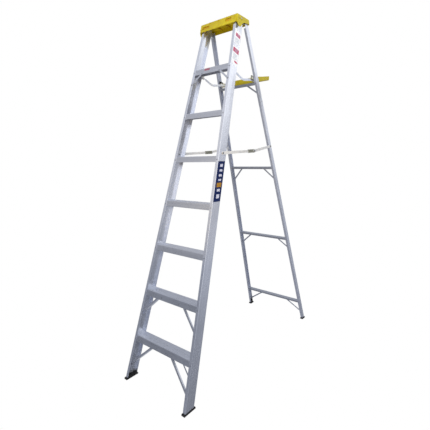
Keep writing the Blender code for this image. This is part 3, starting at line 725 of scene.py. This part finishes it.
def heads(name, body, spots, radius=0.0042, rise=0.0018, look="rivet"):
    """Several rivet heads in one object; each spot is a (point, normal) pair."""
    bm = bmesh.new()
    for point, normal in spots:
        pour(dome(radius, rise), bm, facing(point, normal))
    return finish(name, bm, body, LOOKS[look])


def make_rivets():
    """Heads on both flanges at the ends of each step and bar."""
    for number in range(1, 8):
        low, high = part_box("step_%d" % number)
        height = high.z - 0.022
        spots = []
        for side in (-1, 1):
            for depth, normal in ((0, -FRONT.deep), (FRONT.depth, FRONT.deep)):
                x = side * (FRONT.width(height, depth) - 0.0115)
                spots.append((FRONT.at(x, depth, height + (0.004 if depth else 0)), normal))
        heads("step_%d_rivets" % number, "front_frame", spots)
    for number in range(1, 5):
        low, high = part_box("rear_bar_%d" % number)
        spots = []
        for side in (-1, 1):
            for depth, normal, height in ((0, -REAR.deep, low.z + 0.009), (REAR.depth, REAR.deep, high.z - 0.009)):
                x = side * (REAR.width(height, depth) - 0.0100)
                spots.append((REAR.at(x, depth, height), normal))
        heads("rear_bar_%d_rivets" % number, "rear_frame", spots, radius=0.0034, rise=0.0014)


def make_brace_rivets():
    """A head through the skirt or flange at each end of the braces."""
    for side_name, side in SIDES:
        for node in ("step_1_brace_front_", "step_2_brace_front_"):
            low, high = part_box(node + side_name)
            number = node[5]
            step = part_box("step_" + number)
            top_x = min(abs(low.x), abs(high.x)) + 0.006
            skirt = FRONT.wall + PLAY
            height = step[1].z - 0.022
            flange_height = low.z + 0.012
            spots = [(FRONT.at(side * top_x, skirt, height), -FRONT.deep),
                     (FRONT.at(side * (FRONT.width(flange_height) - 0.012), 0, flange_height), -FRONT.deep)]
            heads(node + "rivets_" + side_name, "front_frame", spots, radius=0.0036, rise=0.0016)
        node = "step_7_brace_" + side_name
        low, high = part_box(node)
        front = -PLAY - 0.002
        reach = 0.008
        inner = min(abs(low.x), abs(high.x)) + reach
        outer = max(abs(low.x), abs(high.x)) - reach
        spots = [(FRONT.at(side * inner, front - PLAY, high.z - reach), -FRONT.deep),
                 (FRONT.at(side * outer, front - PLAY, low.z + reach), -FRONT.deep)]
        heads(node + "_rivets", "front_frame", spots, radius=0.0036, rise=0.0014)


# ---------------------------------------------------------------- top cap


def cap_end(height):
    """Half-width of the cap at a height."""
    low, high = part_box("top_cap")
    return CAP_TOP_HALF + (high.x - CAP_TOP_HALF) * (high.z - height) / (high.z - low.z)


def cap_front(height):
    """How far forward the cap's front face lies at a height."""
    low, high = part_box("top_cap")
    return CAP_TOP_FRONT + (low.y - CAP_TOP_FRONT) * (high.z - height) / (high.z - CAP_SKIRT)


def raised_arc(centre, radius, start, end, width=0.0024, high=0.0012, count=15):
    """A raised ring sector on Z, as a closed solid."""
    outline = (arc(centre, radius + width / 2, start, end, count)
               + arc(centre, radius - width / 2, end, start, count))
    return prism(outline, ACROSS, DEEP, (Vector((0, 0, -0.0004)), UP), (Vector((0, 0, high)), UP))


def end_plane(side, y, height):
    """A matrix on the cap's end face: its X runs back, its Y up and its Z out."""
    slope = math.atan2(cap_end(CAP_SKIRT) - cap_end(CAP_TOP), CAP_TOP - CAP_SKIRT)
    outwards = Vector((side * math.cos(slope), 0, math.sin(slope)))
    along = DEEP * side
    turned = Matrix((along, outwards.cross(along), outwards)).transposed().to_4x4()
    turned.translation = (side * cap_end(height), y, height)
    return turned


def front_plane(x, height):
    """A matrix on the cap's front face: its X runs across, its Y up and its Z out."""
    slope = math.atan2(cap_front(CAP_TOP) - cap_front(CAP_SKIRT), CAP_TOP - CAP_SKIRT)
    outwards = Vector((0, -math.cos(slope), math.sin(slope)))
    turned = Matrix((ACROSS, outwards.cross(ACROSS), outwards)).transposed().to_4x4()
    turned.translation = (x, cap_front(height), height)
    return turned


def make_cap():
    """The cap's shell with moulded pockets, ribs below, raised arcs and a bolt at each end; the pockets and the ribs
    are a darker yellow, which is painted shade.
    """
    cap = finish("top_cap_finished", cleaned("top_cap"), "front_frame", LOOKS["yellow"],
                 ["top_cap"], smooth_below=32)
    ribs = bmesh.new()
    marks = bmesh.new()
    for name, side in SIDES:
        (near, far), (low, high) = POCKETS[name]
        x, middle, wide, tall = side * (near + far) / 2, (low + high) / 2, far - near, high - low
        plane = front_plane(x, middle)
        hole = slab((-wide / 2, -tall / 2), (wide / 2, tall / 2), 0.003)
        solid = prism(hole, ACROSS, DEEP, (Vector((0, 0, -POCKET_DEEP)), UP), (Vector((0, 0, 0.01)), UP))
        solid.transform(plane)
        cut(cap, cutter("cap_pocket_hole_" + name, solid, "front_frame"))
        ring = slab((-wide / 2 - 0.0016, -tall / 2 - 0.0016), (wide / 2 + 0.0016, tall / 2 + 0.0016), 0.0046)
        cup = prism(ring, ACROSS, DEEP, (Vector((0, 0, -POCKET_DEEP - 0.0016)), UP), (Vector((0, 0, -0.0012)), UP))
        cup.transform(plane)
        # The pocket's walls are the darker yellow: painted shade in the recess.
        pocket = finish("cap_pocket_" + name, cup, "front_frame", LOOKS["yellow_painted_shade"])
        well = prism(hole, ACROSS, DEEP, (Vector((0, 0, -POCKET_DEEP)), UP), (Vector((0, 0, 0.01)), UP))
        well.transform(plane)
        cut(pocket, cutter("cap_pocket_well_" + name, well, "front_frame"))
        pour(raised_arc((0, 0), 0.0125, -100, 100), marks, end_plane(side, 0.0500, 2.3300))
        pour(raised_arc((0, 0), 0.0170, 20, 160), marks, end_plane(side, 0.0500, 2.3300))
        pour(raised_arc((0, 0), 0.0095, 0, 359.9, high=0.0010, count=33), marks, end_plane(side, *CAP_BOLT))
        turn = 180 if side > 0 else 0
        pour(raised_arc((0, 0), 0.0130, turn - 80, turn + 80), marks, front_plane(side * 0.1600, 2.3450))
        heads("cap_bolt_" + name, "front_frame", [(end_plane(side, *CAP_BOLT) @ Vector((0, 0, 0.0004)),
              end_plane(side, *CAP_BOLT).to_3x3() @ UP)], radius=0.0056, rise=0.0026, look="zinc")
    for index in range(3):
        x = (index - 1) * 0.080
        outline = slab((0.0345, 2.3560), (0.1500, 2.3665))
        pour(prism(outline, DEEP, UP, plane_x(x - 0.0009), plane_x(x + 0.0009)), ribs)
    # The ribs under the cap are the darker yellow: painted shade.
    finish("cap_ribs", ribs, "front_frame", LOOKS["yellow_painted_shade"])
    finish("cap_marks", marks, "front_frame", LOOKS["yellow"])


# ---------------------------------------------------------------- tray


def ring_tube(points, radius, sides=12):
    """A round bar swept once around a closed loop of points."""
    bm = bmesh.new()
    count = len(points)
    rings = []
    for index, point in enumerate(points):
        run = (points[(index + 1) % count] - points[index - 1]).normalized()
        aside = run.cross(UP).normalized()
        above = aside.cross(run)
        rings.append([bm.verts.new(point + radius * (math.cos(a) * aside + math.sin(a) * above))
                      for a in (2 * math.pi * k / sides for k in range(sides))])
    for index in range(count):
        first, second = rings[index], rings[(index + 1) % count]
        for k in range(sides):
            bm.faces.new((first[k], first[(k + 1) % sides], second[(k + 1) % sides], second[k]))
    face_out(bm)
    return bm


def make_tray():
    """The pan, with a rolled rim and ribs across its floor."""
    finish("tray_finished", cleaned("tray"), "tray", LOOKS["yellow"], ["tray"], smooth_below=32)
    bm = cleaned("tray")
    low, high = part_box("tray")
    front_rim = max(vert.co.z for vert in bm.verts if vert.co.y < low.y + 0.004)
    slope = (high.z - front_rim) / (high.y - low.y)
    bm.free()
    drop = 0.0019
    corner = 0.008
    inset = TRAY_WALL / 2
    flat = (arc((low.x + inset + corner, low.y + inset + corner), corner, 180, 270, 5)
            + arc((high.x - inset - corner, low.y + inset + corner), corner, 270, 360, 5)
            + arc((high.x - inset - corner, high.y - inset - corner), corner, 0, 90, 5)
            + arc((low.x + inset + corner, high.y - inset - corner), corner, 90, 180, 5))
    loop = [Vector((x, y, front_rim + slope * (y - low.y) - drop)) for x, y in flat]
    finish("tray_rim", ring_tube(loop, 0.0018), "tray", LOOKS["yellow"])
    ribs = bmesh.new()
    floor_front = low.z + TRAY_WALL
    for index in range(5):
        x = (index - 2) * 0.05
        base = [(y, floor_front + TRAY_FLOOR_SLOPE * (y - low.y) - 0.001) for y in (low.y + 0.02, high.y - 0.02)]
        outline = base + [(y, z + 0.0028) for y, z in reversed(base)]
        pour(prism(outline, DEEP, UP, plane_x(x - 0.0016), plane_x(x + 0.0016)), ribs)
    finish("tray_ribs", ribs, "tray", LOOKS["yellow"])


def make_hanger_pads():
    """A cream pad in a dark seat outside each hanger plate."""
    for name, side in SIDES:
        low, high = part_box("tray_hanger_" + name)
        outer = max(abs(low.x), abs(high.x))
        y0, y1 = low.y - 0.010, low.y + 0.032
        z0, z1 = high.z - 0.028, high.z + 0.002
        seat = prism(slab((y0, z0), (y1, z1), 0.004), DEEP, UP, plane_x(side * outer), plane_x(side * (outer + 0.0006)))
        finish("hanger_seat_" + name, seat, "tray", LOOKS["rubber"])
        pad = prism(slab((y0 + 0.006, z0 + 0.005), (y1 - 0.006, z1 - 0.005), 0.003), DEEP, UP,
                    plane_x(side * outer), plane_x(side * (outer + 0.0014)))
        finish("hanger_pad_" + name, rounded(pad, 0.0004), "tray", LOOKS["cream"])


# ---------------------------------------------------------------- straps and labels on the front rails


def make_straps():
    """A steel strap inside the top of each front rail, against its rear flange."""
    for name, side in SIDES:
        outline = [(depth, FRONT.up(height, depth)) for depth, height in STRAP_CORNERS]
        bm = prism(outline, DEEP, UP, FRONT.web(side, FRONT.wall + 0.0002), FRONT.web(side, FRONT.wall + 0.0018))
        finish("rail_strap_" + name, rounded(face_flat(bm, FRONT.matrix), 0.0004), "front_frame", LOOKS["strap"])


def face_flat(bm, matrix):
    """A body moved by a matrix, with its faces turned outwards."""
    bm.transform(matrix)
    face_out(bm)
    return bm


def sticker(name, depths, heights, look, lift, level=False, radius=0.0015):
    """A thin film on the outer web of the right front rail; its ends are square to the rail, or level."""
    outline = []
    for depth, height in slab((depths[0], heights[0]), (depths[1], heights[1]), radius, 4):
        along = FRONT.up(height, depth) if level else FRONT.up(height, 0)
        outline.append((depth, along))
    bm = prism(outline, DEEP, UP, FRONT.web(1, 0.0001), FRONT.web(1, -lift))
    bm.transform(FRONT.matrix)
    return finish(name, bm, "front_frame", LOOKS[look])


def make_labels():
    """Plain stand-ins for the printed labels: coloured fields and bars, with no lettering."""
    low, high = NAVY_SPAN
    sticker("label_navy", (0.0020, 0.0575), (low, high), "navy", 0.00030, level=True)
    tall = high - low
    bars = ((0.070, 0.140), (0.205, 0.260), (0.325, 0.380), (0.445, 0.490), (0.690, 0.750), (0.820, 0.920))
    for index, (top, base) in enumerate(bars, 1):
        sticker("label_bar_%d" % index, (0.0210, 0.0440), (high - base * tall, high - top * tall), "pale", 0.00045,
                level=True)
    sticker("label_square", (0.0130, 0.0500), (high - 0.645 * tall, high - 0.535 * tall), "orange", 0.00045, level=True)
    for index, (top, base) in enumerate(PAPER_SPANS, 1):
        sticker("label_paper_%d" % index, (0.0040, 0.0570), (base, top), "paper", 0.00025)
    for index, (depths, heights) in enumerate(RED_FIELDS, 1):
        sticker("label_red_%d" % index, depths, heights, "red", 0.00040)
    for index, height in enumerate(RED_LINES, 1):
        sticker("label_red_line_%d" % index, (0.0180, 0.0470), (height, height + 0.0028), "pale", 0.00055,
                radius=0.0005)
    for index, (base, count) in enumerate(GREY_LINES, 1):
        for row in range(count):
            height = base + row * 0.0052
            sticker("label_line_%d_%d" % (index, row + 1), (0.0100, 0.0500 - 0.006 * (row % 2)),
                    (height, height + 0.0022), "grey", 0.00038, radius=0.0005)
    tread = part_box("step_7")[1].z
    outline = slab(*((x, tread + height) for x, height in STEP_TAG), 0.0015, 4)
    depth = FRONT.wall + PLAY
    run = [(x, FRONT.up(height, depth)) for x, height in outline]
    bm = prism(run, ACROSS, UP, (Vector((0, depth + 0.0001, 0)), DEEP), (Vector((0, depth - 0.0003, 0)), DEEP))
    bm.transform(FRONT.matrix)
    finish("label_step", bm, "front_frame", LOOKS["dull_red"])


# ---------------------------------------------------------------- feet


def make_feet():
    """Rubber pads with a treaded sole, and an insert with teeth that fills the end of the channel."""
    for stem, rails, body in (("front_foot_", FRONT, "front_frame"), ("rear_foot_", REAR, "rear_frame")):
        for name, side in SIDES:
            node = stem + name
            low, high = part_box(node)
            bm = foot_sole(low, high)
            inset = rails.wall + PLAY
            inner, outer = rails.web(side, rails.flange), rails.web(side, inset)
            top = high.z
            teeth = 3
            near, far = rails.wall + PLAY, rails.depth - rails.wall - PLAY
            outline = [(near, rails.up(PAD_HIGH / 2, near)), (far, rails.up(PAD_HIGH / 2, far))]
            crown = []
            for index in range(teeth):
                left = near + (far - near) * index / teeth
                right = near + (far - near) * (index + 1) / teeth
                gap = (right - left) * 0.14
                crown += [(left + gap, top - 0.007), (left + gap, top), (right - gap, top), (right - gap, top - 0.007)]
            crown[0] = (near, top - 0.003)
            crown[-1] = (far, top - 0.003)
            outline += [(depth, rails.up(height, depth)) for depth, height in reversed(crown)]
            plug = prism(outline, DEEP, UP, inner, outer)
            plug.transform(rails.matrix)
            pour(plug, bm)
            finish(node + "_finished", bm, body, LOOKS["rubber"], [node])


def foot_sole(low, high):
    """A pad between two corners: grooves across its sole, ribs round its sides."""
    y0, y1 = low.y, high.y
    count = 8
    pitch = (y1 - y0) / count
    sole = [(y0 + 0.0012, 0.0)]
    for index in range(1, count):
        y = y0 + index * pitch
        sole += [(y - 0.0011, 0.0), (y - 0.0008, 0.0018), (y + 0.0008, 0.0018), (y + 0.0011, 0.0)]
    sole += [(y1 - 0.0012, 0.0), (y1, 0.0012)]
    outline = sole + [(y1, PAD_HIGH - 0.003)] + arc((y1 - 0.003, PAD_HIGH - 0.003), 0.003, 0, 90, 5)
    outline += arc((y0 + 0.003, PAD_HIGH - 0.003), 0.003, 90, 180, 5) + [(y0, 0.0012)]
    inset = 0.0008
    bm = prism(outline, DEEP, UP, plane_x(low.x + inset), plane_x(high.x - inset))
    for index in range(count):
        y = y0 + (index + 0.5) * pitch
        rib = slab((y - pitch * 0.27, 0.0022), (y + pitch * 0.27, PAD_HIGH - 0.0022))
        pour(prism(rib, DEEP, UP, plane_x(low.x), plane_x(high.x)), bm)
    return bm


# ---------------------------------------------------------------- stage


def make_world():
    """A studio for reflections: a tone for each height, on four sides; plain white to the camera."""
    world = bpy.data.worlds.new("world")
    world.use_nodes = True
    bpy.context.scene.world = world
    tree = world.node_tree
    back = tree.nodes["Background"]
    place = tree.nodes.new("ShaderNodeTexCoord")
    parts = tree.nodes.new("ShaderNodeSeparateXYZ")
    tree.links.new(place.outputs["Generated"], parts.inputs["Vector"])

    def span(source, low, high, smooth):
        made = tree.nodes.new("ShaderNodeMapRange")
        made.interpolation_type = "SMOOTHSTEP" if smooth else "LINEAR"
        made.inputs["From Min"].default_value = low
        made.inputs["From Max"].default_value = high
        tree.links.new(source, made.inputs["Value"])
        return made.outputs["Result"]

    height = span(parts.outputs["Z"], -1, 1, False)

    def side(levels):
        ramp = tree.nodes.new("ShaderNodeValToRGB")
        stops = ramp.color_ramp.elements
        for index, (angle, level) in enumerate(levels):
            place = (math.sin(math.radians(angle)) + 1) / 2
            stop = stops[index] if index < 2 else stops.new(place)
            stop.position = place
            cool = 1 - min(1.0, level)
            stop.color = (level * (1 - 0.26 * cool), level * (1 - 0.20 * cool), level, 1)
        tree.links.new(height, ramp.inputs["Fac"])
        return ramp.outputs["Color"]

    def mix(share, first, second):
        made = tree.nodes.new("ShaderNodeMix")
        made.data_type = "RGBA"
        tree.links.new(share, made.inputs["Factor"])
        tree.links.new(first, made.inputs["A"])
        tree.links.new(second, made.inputs["B"])
        return made.outputs["Result"]

    behind = mix(span(parts.outputs["X"], -0.35, 0.35, True), side(BACK_LEFT), side(BACK_RIGHT))
    ahead = mix(span(parts.outputs["X"], -0.35, 0.35, True), side(FRONT_LEFT), side(FRONT_RIGHT))
    around = mix(span(parts.outputs["Y"], -0.25, 0.25, True), ahead, behind)
    tree.links.new(around, back.inputs["Color"])
    tree.links.new(clear_to_camera(tree, back.outputs["Background"], "ShaderNodeBackground"),
                   tree.nodes["World Output"].inputs["Surface"])


def clear_to_camera(tree, unseen, kind):
    """Plain white for the camera, and the given shader for every other ray."""
    white = tree.nodes.new(kind)
    white.inputs["Color"].default_value = (1, 1, 1, 1)
    path = tree.nodes.new("ShaderNodeLightPath")
    mix = tree.nodes.new("ShaderNodeMixShader")
    tree.links.new(path.outputs["Is Camera Ray"], mix.inputs["Fac"])
    tree.links.new(unseen, mix.inputs[1])
    tree.links.new(white.outputs[0], mix.inputs[2])
    return mix.outputs["Shader"]


def make_floor():
    """A pale floor, plain white to the camera."""
    bm = bmesh.new()
    bmesh.ops.create_grid(bm, x_segments=1, y_segments=1, size=15)
    mesh = bpy.data.meshes.new("floor")
    bm.to_mesh(mesh)
    bm.free()
    floor = bpy.data.objects.new("floor", mesh)
    floor.location.z = -0.001
    look = bpy.data.materials.new("floor")
    look.use_nodes = True
    tree = look.node_tree
    shader = tree.nodes["Principled BSDF"]
    shader.inputs["Base Color"].default_value = (0.62, 0.61, 0.59, 1)
    shader.inputs["Roughness"].default_value = 0.9
    tree.links.new(clear_to_camera(tree, shader.outputs["BSDF"], "ShaderNodeEmission"),
                   tree.nodes["Material Output"].inputs["Surface"])
    mesh.materials.append(look)
    bpy.context.scene.collection.objects.link(floor)
    floor.visible_glossy = False


def make_flag():
    """A dark card that only reflections see, to shade the inside of the left front rail."""
    bm = bmesh.new()
    bmesh.ops.create_grid(bm, x_segments=1, y_segments=1, size=0.5)
    mesh = bpy.data.meshes.new("flag")
    bm.to_mesh(mesh)
    bm.free()
    flag = bpy.data.objects.new("flag", mesh)
    flag.location = FLAG_PLACE
    flag.scale = (*FLAG_SIZE, 1)
    flag.rotation_euler = (math.radians(90), math.radians(FLAG_LEAN), math.radians(FLAG_TURN))
    look = bpy.data.materials.new("flag")
    look.use_nodes = True
    shader = look.node_tree.nodes["Principled BSDF"]
    shader.inputs["Base Color"].default_value = (0.015, 0.015, 0.05, 1)
    shader.inputs["Roughness"].default_value = 0.8
    mesh.materials.append(look)
    bpy.context.scene.collection.objects.link(flag)
    flag.visible_camera = False
    flag.visible_diffuse = False
    flag.visible_shadow = False


def area(name, place, aim, size, power, colour=(1, 1, 1)):
    """A soft rectangular lamp that reflections don't show."""
    data = bpy.data.lights.new(name, "AREA")
    data.shape = "RECTANGLE"
    data.size, data.size_y = size
    data.energy = power
    data.color = colour
    lamp = bpy.data.objects.new(name, data)
    lamp.location = place
    lamp.rotation_euler = (Vector(aim) - Vector(place)).to_track_quat("-Z", "Y").to_euler()
    lamp.visible_glossy = False
    bpy.context.scene.collection.objects.link(lamp)
    return lamp


make_camera()
make_world()
make_floor()
make_flag()
make_rails()
make_steps()
make_bars()
make_braces()
make_linkage()
make_fasteners()
make_links()
make_rivets()
make_brace_rivets()
make_cap()
make_tray()
make_hanger_pads()
make_straps()
make_labels()
make_feet()

area("key", (1.5, -1.7, 3.4), (0, -0.1, 1.9), (1.3, 1.3), 62)
area("fill", (0.4, -0.9, 1.3), (0, 0.08, 2.35), (0.8, 0.8), 10, (1.0, 0.78, 0.45))
bpy.context.scene.view_settings.view_transform = "Standard"
